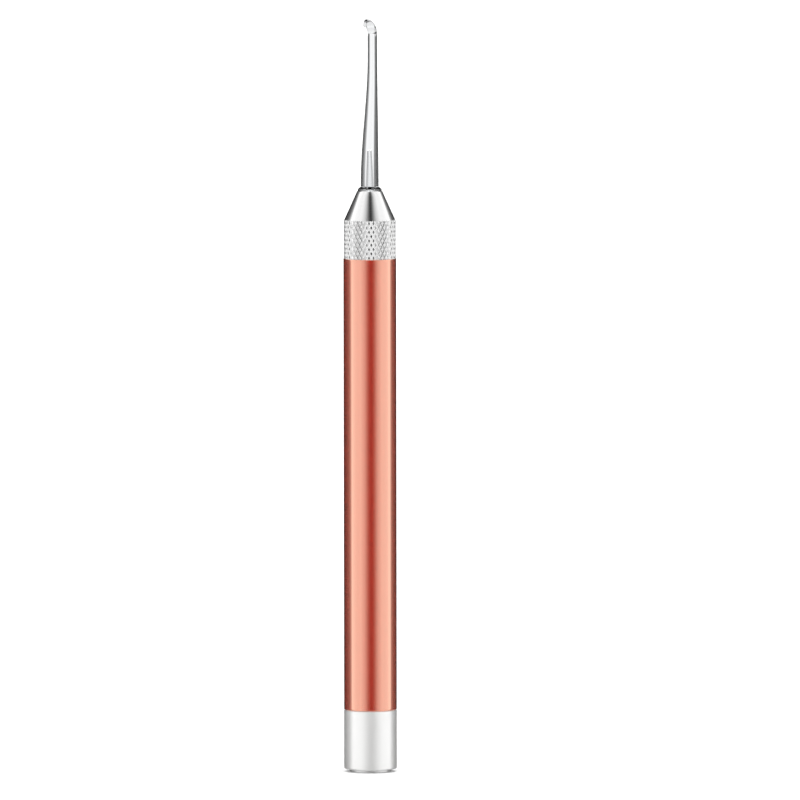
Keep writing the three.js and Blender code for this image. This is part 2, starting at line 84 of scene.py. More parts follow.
class Slot(Enum):
    """The record's material slots for the new pieces; nothing here reads them."""

    CLEAR_ACRYLIC = "clear_acrylic"
    BRIGHT_ALUMINIUM = "bright_aluminium"
    ROSE_ALUMINIUM = "rose_anodised_aluminium"
    SATIN_ALUMINIUM = "satin_aluminium"


def node_span(node: str) -> tuple[float, float]:
    """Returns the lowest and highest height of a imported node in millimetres."""
    low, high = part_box(node)
    return low.z / MM, high.z / MM


def node_radius(node: str) -> float:
    """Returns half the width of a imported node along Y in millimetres."""
    low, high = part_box(node)
    return (high.y - low.y) / 2 / MM


def linear(colour: str) -> tuple[float, float, float, float]:
    """Turns an sRGB hex colour to linear light.

    Args:
        colour: Six hex digits after a hash.

    Returns:
        Red, green, blue and a full alpha.
    """
    parts = [int(colour[i : i + 2], 16) / 255 for i in (1, 3, 5)]
    light = [c / 12.92 if c <= 0.04045 else ((c + 0.055) / 1.055) ** 2.4 for c in parts]
    return (*light, 1.0)


def add_node(tree: Tree, kind: str, inputs: dict | None = None, **settings: object) -> bpy.types.Node:
    """Adds one node with its settings and links.

    Args:
        tree: The node tree to add to.
        kind: The node's type name.
        inputs: Input socket, by name or place, to a value or to the output socket that feeds it.
        settings: The node's own properties.

    Returns:
        The new node.
    """
    node = tree.nodes.new(kind)
    for name, value in settings.items():
        setattr(node, name, value)
    for key, value in (inputs or {}).items():
        if isinstance(value, Socket):
            tree.links.new(value, node.inputs[key])
        else:
            node.inputs[key].default_value = value
    return node


def marks_round(tree: Tree, spacing: float, finer: float) -> Socket:
    """Adds marks that run round the object, one above the other.

    Args:
        tree: The node tree to add to.
        spacing: Millimetres from one mark to the next.
        finer: Layers of finer marks between them.

    Returns:
        The socket with the marks, from 0 to 1.
    """
    place = add_node(tree, "ShaderNodeTexCoord")
    axes = add_node(tree, "ShaderNodeSeparateXYZ", {0: place.outputs["Object"]})
    count = {0: axes.outputs["Z"], 1: 1 / (spacing * MM)}
    height = add_node(tree, "ShaderNodeMath", count, operation="MULTIPLY").outputs[0]
    marks = {"W": height, "Scale": 1.0, "Detail": finer}
    return add_node(tree, "ShaderNodeTexNoise", marks, noise_dimensions="1D").outputs["Fac"]


@dataclass(frozen=True)
class Finish:
    """A plain moulded, cast or plated finish whose gloss wavers a little.

    Attributes:
        name: The material's name, for what it is and how its surface was made.
        colour: The base colour as sRGB hex.
        roughness: The middle of the roughness.
        metallic: 1 for a metal and 0 for anything else.
        ior: Refractive index, left at the default on a metal.
        transmission: 1 for a clear material.
        grain: Size of the waver in millimetres.
        finer: Layers of finer waver within it.
        waver: How far the roughness goes to either side of its middle.
    """

    name: str
    colour: str
    roughness: float
    metallic: float = 0.0
    ior: float = 1.5
    transmission: float = 0.0
    grain: float = 0.4
    finer: float = 2.0
    waver: float = 0.04

    def material(self) -> bpy.types.Material:
        """Makes the material once and gives the same one from then on.

        Returns:
            The material.
        """
        made = bpy.data.materials.get(self.name)
        if made:
            return made
        made = bpy.data.materials.new(self.name)
        made.use_nodes = True
        tree = made.node_tree
        tree.nodes.clear()
        add_node(tree, "ShaderNodeOutputMaterial", {"Surface": self.surface(tree)})
        return made

    def surface(self, tree: Tree) -> Socket:
        """Adds the shader.

        Args:
            tree: The material's node tree.

        Returns:
            The shader's output socket.
        """
        place = add_node(tree, "ShaderNodeTexCoord")
        scale = 1 / (self.grain * MM)
        grain = {"Vector": place.outputs["Object"], "Scale": scale, "Detail": self.finer}
        noise = add_node(tree, "ShaderNodeTexNoise", grain)
        inputs = {
            "Base Color": linear(self.colour),
            "Roughness": self.gloss(tree, noise.outputs["Fac"], self.waver),
            "Metallic": self.metallic,
            "IOR": self.ior,
            "Transmission Weight": self.transmission,
        }
        return add_node(tree, "ShaderNodeBsdfPrincipled", inputs).outputs[0]

    def gloss(self, tree: Tree, pattern: Socket, reach: float) -> Socket:
        """Adds a roughness that a pattern moves to either side of its middle.

        Args:
            tree: The material's node tree.
            pattern: The pattern, from 0 to 1.
            reach: How far the pattern moves it.

        Returns:
            The roughness.
        """
        least, most = max(0.0, self.roughness - reach), self.roughness + reach
        span = {"Value": pattern, "To Min": least, "To Max": most}
        return add_node(tree, "ShaderNodeMapRange", span).outputs[0]

    def mirror_and_scatter(
        self, tree: Tree, roughness: float | Socket, tone: str, share: Socket
    ) -> Socket:
        """Adds the mirror of the metal, mixed with matt scatter.

        Args:
            tree: The material's node tree.
            roughness: The mirror's roughness.
            tone: The scatter's colour, as sRGB hex.
            share: How much of the light is scattered.

        Returns:
            The shader's output socket.
        """
        shine = {"Base Color": linear(self.colour), "Metallic": self.metallic, "Roughness": roughness}
        mirror = add_node(tree, "ShaderNodeBsdfPrincipled", shine)
        dull = {"Base Color": linear(tone), "Roughness": MATT, "Specular IOR Level": 0.0}
        scatter = add_node(tree, "ShaderNodeBsdfPrincipled", dull)
        both = {"Fac": share, 1: mirror.outputs[0], 2: scatter.outputs[0]}
        return add_node(tree, "ShaderNodeMixShader", both).outputs[0]


@dataclass(frozen=True)
class TurnedMetal(Finish):
    """A metal turned on a lathe: the tool leaves fine rings round the axis.

    Attributes:
        ring_spacing: Millimetres between rings, drawn coarser than the real 0.05 so that they show.
        ring_depth: How deep the rings look, in millimetres.
        ring_gloss: How far the rings move the roughness.
        finer: Layers of finer rings between them.
    """

    ring_spacing: float = 0.2
    ring_depth: float = 0.004
    ring_gloss: float = 0.05
    finer: float = 1.0

    def surface(self, tree: Tree) -> Socket:
        """Adds a metal whose rings stand in its bump and in its gloss.

        Args:
            tree: The material's node tree.

        Returns:
            The shader's output socket.
        """
        rings = marks_round(tree, self.ring_spacing, self.finer)
        relief = {"Height": rings, "Strength": 1.0, "Distance": self.ring_depth * MM}
        bump = add_node(tree, "ShaderNodeBump", relief)
        inputs = {
            "Base Color": linear(self.colour),
            "Metallic": self.metallic,
            "Roughness": self.gloss(tree, rings, self.ring_gloss),
            "Normal": bump.outputs[0],
        }
        return add_node(tree, "ShaderNodeBsdfPrincipled", inputs).outputs[0]


@dataclass(frozen=True)
class RolledKnurl(Finish):
    """A metal with a rolled knurl: its tops keep their polish, and its grooves are matt with painted grey
    shade in them.

    Attributes:
        top_radius: Distance of the tops from the axis in millimetres.
        groove_depth: Depth of the grooves in millimetres.
        groove_scatter: How much of the light the bottom of a groove scatters, in the grey of the painted
            shade.
        groove_shade_tone: Colour of that scatter as sRGB hex, darker than the tops: painted shade in the
            grooves.
    """

    top_radius: float = node_radius("knurled_head")
    groove_depth: float = KNURL_DEPTH
    groove_scatter: float = 0.5
    # Painted shade: a grey darker than the tops, which the grooves take as they deepen.
    groove_shade_tone: str = "#e4e4e4"

    def surface(self, tree: Tree) -> Socket:
        """Adds a mirror that gives way with depth to matt scatter, whose grey is painted shade in the
        grooves.

        Args:
            tree: The material's node tree.

        Returns:
            The shader's output socket.
        """
        place = add_node(tree, "ShaderNodeTexCoord")
        flat = {0: place.outputs["Object"], 1: (1.0, 1.0, 0.0)}
        across = add_node(tree, "ShaderNodeVectorMath", flat, operation="MULTIPLY")
        out = add_node(tree, "ShaderNodeVectorMath", {0: across.outputs[0]}, operation="LENGTH")
        span = {
            "Value": out.outputs["Value"],
            "From Min": (self.top_radius - self.groove_depth) * MM,
            "From Max": self.top_radius * MM,
            "To Min": self.groove_scatter,
            "To Max": 0.0,
        }
        share = add_node(tree, "ShaderNodeMapRange", span).outputs[0]
        # The scatter's grey darkens the grooves as painted shade.
        return self.mirror_and_scatter(tree, self.roughness, self.groove_shade_tone, share)


@dataclass(frozen=True)
class DyedAnodised(Finish):
    """Anodised aluminium: a mirror tinted by the film, over a film that scatters its own colour.

    Attributes:
        dye: Colour that the film scatters, as sRGB hex.
        dye_share: How much of the light the film scatters face on.
        edge_share: The same at a grazing view, where a glossy film mirrors more.
    """

    dye: str = "#ffffff"
    dye_share: float = 0.4
    edge_share: float = 0.0

    def surface(self, tree: Tree) -> Socket:
        """Adds the mirror of the metal and the scatter of the dye.

        Args:
            tree: The material's node tree.

        Returns:
            The shader's output socket.
        """
        gloss = self.gloss(tree, marks_round(tree, self.grain, self.finer), self.waver)
        facing = add_node(tree, "ShaderNodeLayerWeight").outputs["Facing"]
        fall = {"Value": facing, "To Min": self.dye_share, "To Max": self.edge_share}
        share = add_node(tree, "ShaderNodeMapRange", fall).outputs[0]
        return self.mirror_and_scatter(tree, gloss, self.dye, share)


# Clear acrylic, injection moulded and polished: no colour, a sharp rim of refracted dark at each edge.
CLEAR_ACRYLIC = Finish(
    "clear_acrylic_moulded", "#fbfcfd", 0.02, ior=1.49, transmission=1.0, grain=0.8, waver=0.02
)
# Bright turned aluminium: a crisp mirror across the axis, with lathe rings that streak it along the axis.
BRIGHT_ALUMINIUM = TurnedMetal("aluminium_bright_turned", "#fcfcfc", 0.16, metallic=1.0)
# The same aluminium with a rolled knurl: sharp glints on the tops, and in the grooves a soft grey of
# painted shade.
KNURLED_ALUMINIUM = RolledKnurl("aluminium_bright_knurled", "#f6f6f6", 0.14, metallic=1.0)
# Etched and clear anodised aluminium: lights blur into soft pale bands over a whitish film.
SATIN_ALUMINIUM = DyedAnodised(
    "aluminium_satin_clear_anodised",
    "#fafafa",
    0.3,
    metallic=1.0,
    grain=0.25,
    waver=0.04,
    dye="#fafaf8",
    dye_share=0.54,
    edge_share=0.15,
)
# Rose-gold anodised aluminium, drawn and dyed: pale rose where lights are mirrored, deep red between them.
ROSE_ALUMINIUM = DyedAnodised(
    "aluminium_rose_anodised",
    "#fcdac0",
    0.1,
    metallic=1.0,
    grain=2.0,
    waver=0.02,
    dye="#f0402c",
    dye_share=0.4,
)
# Clear epoxy, cast round the lamp: glassy, with a faint blue.
CLEAR_EPOXY = Finish("epoxy_clear_cast", "#f4f7ff", 0.05, ior=1.54, transmission=0.9)
# Tinned steel wire: pale grey with a soft shine.
TINNED_STEEL = Finish("steel_tinned_wire", "#c9c9c5", 0.35, metallic=1.0)
# Glass laminate under solder mask: an even deep green with a low sheen.
BOARD_LAMINATE = Finish("glass_laminate_solder_mask", "#1f5a36", 0.4, ior=1.52)
# Glazed black ceramic: almost black, with small highlights.
CHIP_CERAMIC = Finish("ceramic_black_glazed", "#222427", 0.35, ior=1.6, grain=0.1)
# Nickelled spring wire: cool grey with a bright line along each coil.
SPRING_STEEL = Finish("steel_nickelled_spring_wire", "#c2c5c8", 0.28, metallic=1.0)
# White polyester film: even and pale, with a broad dull shine.
SLEEVE_FILM = Finish("polyester_white_film", "#f0efe8", 0.45, ior=1.57)
# Drawn and nickelled steel: bright grey that mirrors in a blur.
NICKELLED_STEEL = Finish("steel_nickelled_drawn", "#cfd1d2", 0.25, metallic=1.0)
# Dark moulded nylon: dull dark grey.
SEAL_NYLON = Finish("nylon_dark_moulded", "#4a4d50", 0.55, ior=1.53)
# White matt paper, pressed: an even pale ground without gloss.
WHITE_PAPER = Finish("paper_white_matt", "#f4f4f4", 0.9, waver=0.0, grain=50.0)

NODE_FINISHES = {
    "led_lens": CLEAR_EPOXY,
    "led_anode_lead": TINNED_STEEL,
    "led_cathode_lead": TINNED_STEEL,
    "led_board": BOARD_LAMINATE,
    "chip_resistor": CHIP_CERAMIC,
    "contact_spring": SPRING_STEEL,
    "tail_spring": SPRING_STEEL,
    "cell_sleeve": SLEEVE_FILM,
}
CELL_FINISHES = {"can": NICKELLED_STEEL, "seal": SEAL_NYLON, "cap": NICKELLED_STEEL}


def link_mesh(name: str, vertices: list[Vector], faces: list[tuple[int, ...]]) -> Piece:
    """Makes an object from points in millimetres, smooth but for its sharp edges.

    Args:
        name: The object's name.
        vertices: Points in millimetres.
        faces: Corners of each face, anticlockwise from outside.

    Returns:
        The linked object.
    """
    mesh = bpy.data.meshes.new(name)
    mesh.from_pydata([point * MM for point in vertices], [], faces)
    made = bpy.data.objects.new(name, mesh)
    bpy.context.scene.collection.objects.link(made)
    soften(made)
    return made


def soften(made: Piece) -> None:
    """Shades an object smooth and keeps the edges that turn by more than the limit."""
    made.data.shade_smooth()
    made.data.set_sharp_from_angle(angle=SMOOTH_BELOW)


def turned_rings(profile: Profile, sides: int = SIDES) -> list[Ring]:
    """Turns a profile about Z.

    Args:
        profile: Radius, or radius as a function of the angle, and height. Radius 0 is a point on the axis.
        sides: Points in a ring.

    Returns:
        One ring of points for each step of the profile.
    """
    rings = []
    for radius, height in profile:
        if radius == 0:
            rings.append([Vector((0, 0, height))])
            continue
        ring = []
        for k in range(sides):
            angle = FULL_TURN * k / sides
            reach = radius(angle) if callable(radius) else radius
            ring.append(Vector((reach * math.cos(angle), reach * math.sin(angle), height)))
        rings.append(ring)
    return rings


def skin(name: str, rings: list[Ring], loops_back: bool = False) -> Piece:
    """Skins rings of points into one closed mesh.

    Args:
        name: The object's name.
        rings: Rings that run anticlockwise seen from the last; a ring of one point closes an end.
        loops_back: True where the last ring joins the first, as in a tube.

    Returns:
        The linked object.
    """
    starts = [0]
    for ring in rings:
        starts.append(starts[-1] + len(ring))
    pairs = list(zip(range(len(rings) - 1), range(1, len(rings))))
    if loops_back:
        pairs.append((len(rings) - 1, 0))
    faces: list[tuple[int, ...]] = []
    for low, high in pairs:
        count = max(len(rings[low]), len(rings[high]))
        for k in range(count):
            after = (k + 1) % count
            if len(rings[low]) == 1:
                faces.append((starts[low], starts[high] + after, starts[high] + k))
            elif len(rings[high]) == 1:
                faces.append((starts[low] + k, starts[low] + after, starts[high]))
            else:
                lower = (starts[low] + k, starts[low] + after)
                faces.append((*lower, starts[high] + after, starts[high] + k))
    return link_mesh(name, [point for ring in rings for point in ring], faces)


def arc(middle: tuple[float, float], round_: float, start: float, end: float, steps: int) -> Profile:
    """Gives the points of a round corner in a profile.

    Args:
        middle: Radius and height of the corner's middle.
        round_: The corner's radius.
        start: First angle in degrees.
        end: Last angle in degrees.
        steps: Steps between them.

    Returns:
        Radius and height of each point.
    """
    angles = [math.radians(start + (end - start) * i / steps) for i in range(steps + 1)]
    return [(middle[0] + round_ * math.cos(a), middle[1] + round_ * math.sin(a)) for a in angles]


def combine(target: Piece, tool: Piece, operation: str) -> None:
    """Cuts one object by another and removes the tool.

    Args:
        target: The object that is kept.
        tool: The object that shapes it.
        operation: INTERSECT or DIFFERENCE.
    """
    cut = target.modifiers.new("cut", "BOOLEAN")
    cut.operation = operation
    cut.object = tool
    cut.solver = "EXACT"
    graph = bpy.context.evaluated_depsgraph_get()
    shaped = bpy.data.meshes.new_from_object(target.evaluated_get(graph))
    blank = target.data
    target.modifiers.clear()
    target.data = shaped
    shaped.name = target.name
    bpy.data.meshes.remove(blank)
    bpy.data.objects.remove(tool)
    soften(target)


def smooth_step(value: float, low: float, high: float) -> float:
    """Returns 0 below low and 1 above high, with an even S between."""
    t = min(1.0, max(0.0, (value - low) / (high - low)))
    return t * t * (3 - 2 * t)


@dataclass(frozen=True)
class Thread:
    """The right-hand thread between the barrel and its ends.

    Attributes:
        pitch: Rise for each turn.
        depth: Height of the ridge.
        crest: Width of the ridge's top.
        flank: Width of each slope.
        fade: Part of a turn in which the ridge rises or sinks.
        clearance: Gap round the ridge in its groove.
        turns: Turns of the ridge.
        relief: Length from a shoulder to the ridge's first middle.
        run_out: Turns that the groove goes on beyond the ridge.
    """

    pitch: float = 1.0
    depth: float = 0.3
    crest: float = 0.25
    flank: float = 0.15
    fade: float = 0.25
    clearance: float = 0.1
    turns: float = 3.0
    relief: float = 0.6
    run_out: float = 0.75

    def ridge(self, zero: float, first: float, last: float, grow: float) -> Rise:
        """Gives the ridge's height as a function of angle and height.

        Args:
            zero: Height of the ridge's middle on turn 0 at angle 0.
            first: Turn at which the ridge starts.
            last: Turn at which it ends.
            grow: Added to each side of the ridge, for a groove.

        Returns:
            A function of angle and height that gives the ridge's height there.
        """

        def rise(angle: float, height: float) -> float:
            """Gives the ridge's height at one place.

            Args:
                angle: The way round in radians.
                height: The height in millimetres.

            Returns:
                How far the ridge stands out there.
            """
            part = angle / FULL_TURN
            turn = round((height - zero) / self.pitch - part) + part
            away = abs(height - zero - self.pitch * turn) - self.crest / 2 - grow
            slope = 1 - away / self.flank
            end = min(turn - first, last - turn) / self.fade
            return self.depth * min(1.0, max(0.0, slope)) * min(1.0, max(0.0, end))

        return rise

    def rows(self, base: float, low: float, high: float, rise: Rise) -> Profile:
        """Gives profile rows from one height to another with a ridge on them.

        Args:
            base: Radius under the ridge.
            low: Height of the first row.
            high: Height of the last row, above or below the first.
            rise: The ridge's height by angle and height.

        Returns:
            Rows whose radius is a function of the angle.
        """
        steps = round(abs(high - low) / self.pitch * THREAD_ROWS_PER_PITCH)
        heights = [low + (high - low) * i / steps for i in range(steps + 1)]
        return [(lambda angle, h=h: base + rise(angle, h), h) for h in heights]


@dataclass
class SubAssembly:
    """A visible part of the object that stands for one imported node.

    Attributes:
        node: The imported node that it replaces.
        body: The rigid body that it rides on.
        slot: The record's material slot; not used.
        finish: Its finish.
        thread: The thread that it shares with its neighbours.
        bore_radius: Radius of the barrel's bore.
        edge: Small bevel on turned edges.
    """

    node: str
    body: Body
    slot: Slot
    finish: Finish
    thread: Thread = Thread()
    bore_radius: float = 4.2
    edge: float = 0.25

    def build(self) -> Piece:
        """Returns the part's mesh object, in place."""
        raise NotImplementedError

    def dress(self, made: Piece) -> None:
        """Gives the part its finish."""
        made.data.materials.clear()
        made.data.materials.append(self.finish.material())

    def add(self) -> None:
        """Builds the part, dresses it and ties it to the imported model."""
        made = self.build()
        self.dress(made)
        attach(made, self.body.value)
        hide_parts(self.node)
        LOG.info("%s stands for %s with %d faces", made.name, self.node, len(made.data.polygons))


@dataclass
class Barrel(SubAssembly):
    """The anodised tube, with a thread groove in its bore at each end.

    Attributes:
        rim: Round at its outer edges.
        rim_steps: Steps of that round.
        mouth: Bevel at the mouths of its bore.
    """

    node: str = "barrel"
    body: Body = Body.BARREL
    slot: Slot = Slot.ROSE_ALUMINIUM
    finish: Finish = ROSE_ALUMINIUM
    rim: float = 0.12
    rim_steps: int = 4
    mouth: float = 0.35

    def build(self) -> Piece:
        """Builds the tube as one closed skin, outside up and inside down.

        Returns:
            The tube.
        """
        low, high = node_span(self.node)
        outer = node_radius(self.node)
        thread = self.thread
        groove = thread.turns + thread.run_out
        tail = thread.ridge(low + thread.relief, -groove, groove, thread.clearance)
        head = thread.ridge(high - thread.relief, -groove, groove, thread.clearance)
        depth = thread.relief + thread.pitch * (groove + 1)
        wide = self.bore_radius + self.mouth
        profile: Profile = [
            (wide, low),
            (outer - self.rim, low),
            *arc((outer - self.rim, low + self.rim), self.rim, -RIGHT_ANGLE, 0, self.rim_steps)[1:],
            (outer, low + self.rim + LAND),
            (outer, high - self.rim - LAND),
            *arc((outer - self.rim, high - self.rim), self.rim, 0, RIGHT_ANGLE, self.rim_steps),
            (wide, high),
            *thread.rows(self.bore_radius, high - self.mouth, high - depth, head),
            *thread.rows(self.bore_radius, low + depth, low + self.mouth, tail),
        ]
        return skin("barrel_tube", turned_rings(profile), loops_back=True)


@dataclass
class TailCap(SubAssembly):
    """The turned tail cap with its foot, threaded spigot and spring pocket.

    Attributes:
        round_: Radius of its lower corner.
        round_steps: Steps of that corner.
        foot_step: How far the foot stands in from the outside.
        foot_height: Height of the foot below that corner.
        foot_edge: Bevel at the foot's lower edge.
        rim: Bevel at the shoulder.
        pocket_radius: Radius of the spring pocket.
        floor: Height of the pocket's floor.
    """

    node: str = "tail_cap"
    body: Body = Body.TAIL_CAP
    slot: Slot = Slot.SATIN_ALUMINIUM
    finish: Finish = SATIN_ALUMINIUM
    round_: float = 0.35
    round_steps: int = 12
    foot_step: float = 1.15
    foot_height: float = 0.5
    foot_edge: float = 0.06
    rim: float = 0.2
    pocket_radius: float = 2.95
    floor: float = 2.4

    def build(self) -> Piece:
        """Builds the cap as one closed skin from the foot to the pocket's floor.

        Returns:
            The cap.
        """
        end = node_span(self.node)[1]
        shoulder = node_span("barrel")[0]
        outer = node_radius(self.node)
        foot = outer - self.foot_step
        corner = (outer - self.round_, self.foot_height + self.round_)
        thread = self.thread
        spigot = self.bore_radius - thread.clearance
        ridge = thread.ridge(shoulder + thread.relief, 0, thread.turns, 0)
        profile: Profile = [
            (0, 0),
            (foot - self.foot_edge, 0),
            (foot, self.foot_edge),
            (foot, self.foot_height),
            *arc(corner, self.round_, -RIGHT_ANGLE, 0, self.round_steps),
            (outer, self.foot_height + self.round_ + LAND),
            (outer, shoulder - self.rim),
            (outer - self.rim, shoulder),
            *thread.rows(spigot, shoulder, end - self.edge, ridge),
            (spigot - self.edge, end),
            (self.pocket_radius, end),
            (self.pocket_radius, self.floor),
            (0, self.floor),
        ]
        return skin("tail_cap_body", turned_rings(profile))


@dataclass
class Head(SubAssembly):
    """The head: threaded spigot, knurled collar and cone, bored through.

    Attributes:
        collar_length: Length of the knurled collar.
        nose_radius: Radius of the cone's small end.
        nose_edge: Bevel there.
        plug_bore: Radius of the bore for the tip's plug.
        lens_bore: Radius of the bore for the lamp.
        board_bore: Radius of the bore for the board.
        lens_gap: Length from the lamp's top to the end of its bore.
        diamonds: Diamonds round the knurl.
        diamond_height: Height of one diamond.
        knurl_turn: How far round the knurl is turned, in diamonds.
        groove_depth: Depth of the knurl's grooves.
        groove_share: Part of a diamond's width that its grooves take.
        cone_rows: Rows of faces up the cone.
        spare: Radius left on the blank for the knurl to cut.
    """

    node: str = "knurled_head"
    body: Body = Body.HEAD
    slot: Slot = Slot.BRIGHT_ALUMINIUM
    finish: Finish = BRIGHT_ALUMINIUM
    collar_length: float = 7.28
    nose_radius: float = 2.46
    nose_edge: float = 0.1
    plug_bore: float = 1.83
    lens_bore: float = 2.05
    board_bore: float = 3.2
    lens_gap: float = 0.475
    diamonds: int = 36
    diamond_height: float = 1.66
    knurl_turn: float = 0.342
    groove_depth: float = KNURL_DEPTH
    groove_share: float = 0.55
    cone_rows: int = 6
    spare: float = 0.05

    def build(self) -> Piece:
        """Builds the bored blank and rolls the knurl into its collar.

        Returns:
            The head.
        """
        end, nose = node_span(self.node)
        shoulder = node_span("barrel")[1]
        collar = node_radius(self.node)
        cone_base = shoulder + self.collar_length
        board_top = node_span("led_board")[1]
        lens_end = node_span("led_lens")[1] + self.lens_gap
        thread = self.thread
        spigot = self.bore_radius - thread.clearance
        ridge = thread.ridge(shoulder - thread.relief, -thread.turns, 0, 0)
        slope = (nose - cone_base) / (collar - self.nose_radius)
        wide, narrow = collar + self.spare, self.nose_radius
        foot, top = cone_base - self.spare * slope, nose - self.nose_edge
        parts = [i / self.cone_rows for i in range(self.cone_rows + 1)]
        cone = [(wide + (narrow - wide) * t, foot + (top - foot) * t) for t in parts]
        profile: Profile = [
            (self.board_bore, end),
            (spigot - self.edge, end),
            *thread.rows(spigot, end + self.edge, shoulder, ridge),
            (wide, shoulder),
            *cone,
            (narrow - self.nose_edge, nose),
            (self.plug_bore, nose),
            (self.plug_bore, lens_end),
            (self.lens_bore, lens_end),
            (self.lens_bore, board_top),
            (self.board_bore, board_top),
        ]
        blank = skin("head_shell", turned_rings(profile), loops_back=True)
        combine(blank, self.knurled_rod(collar, end, nose), "INTERSECT")
        return blank

    def knurled_rod(self, collar: float, low: float, high: float) -> Piece:
        """Makes a rod with the knurl all along it, a diamond longer than the head at each end.

        Args:
            collar: Radius of the diamonds' flats.
            low: Lowest height of the head.
            high: Highest height of the head.

        Returns:
            The rod as a closed mesh.
        """
        half = self.diamond_height / 2
        count = self.diamonds
        diamonds_up = math.ceil((high - low) / self.diamond_height) + 2
        rows = 2 * diamonds_up
        bottom = low - self.diamond_height
        step = FULL_TURN / count
        points: list[Vector] = []
        faces: list[tuple[int, ...]] = []

        def place(angle: float, height: float, radius: float) -> int:
            """Adds a point and returns its number."""
            points.append(Vector((radius * math.cos(angle), radius * math.sin(angle), height)))
            return len(points) - 1

        def crossing(row: int, column: int) -> int:
            """Returns the number of the point where two grooves cross."""
            return row * count + column % count

        for row in range(rows + 1):
            for column in range(count):
                angle = step * (column + row % 2 / 2 + self.knurl_turn)
                place(angle, bottom + row * half, collar - self.groove_depth)
        inner = 1 - self.groove_share
        for row in range(1, rows):
            for column in range(count):
                angle = step * (column + row % 2 / 2 + 0.5 + self.knurl_turn)
                height = bottom + row * half
                across = column + row % 2
                rim = [
                    crossing(row, column),
                    crossing(row - 1, across),
                    crossing(row, column + 1),
                    crossing(row + 1, across),
                ]
                flat = [
                    place(angle - inner * step / 2, height, collar),
                    place(angle, height - inner * half, collar),
                    place(angle + inner * step / 2, height, collar),
                    place(angle, height + inner * half, collar),
                ]
                faces.append(tuple(flat))
                for a, b in ((0, 1), (1, 2), (2, 3), (3, 0)):
                    faces.append((rim[a], rim[b], flat[b], flat[a]))
        for row, inside, is_top in ((0, 1, False), (rows, rows - 1, True)):
            pole = place(0, bottom + row * half, 0)
            for column in range(count):
                start = crossing(row, column)
                middle = crossing(inside, column)
                after = crossing(row, column + 1)
                for a, b in ((start, middle), (middle, after)):
                    faces.append((pole, a, b) if is_top else (pole, b, a))
        return link_mesh("knurled_rod", points, faces)

    def dress(self, made: Piece) -> None:
        """Gives the collar the knurled finish and the rest the bright one.

        Args:
            made: The head.
        """
        super().dress(made)
        made.data.materials.append(KNURLED_ALUMINIUM.material())
        low = node_span("barrel")[1]
        for face in made.data.polygons:
            middle = face.center / MM
            is_outside = math.hypot(middle.x, middle.y) > self.bore_radius
            face.material_index = int(is_outside and low < middle.z < low + self.collar_length)


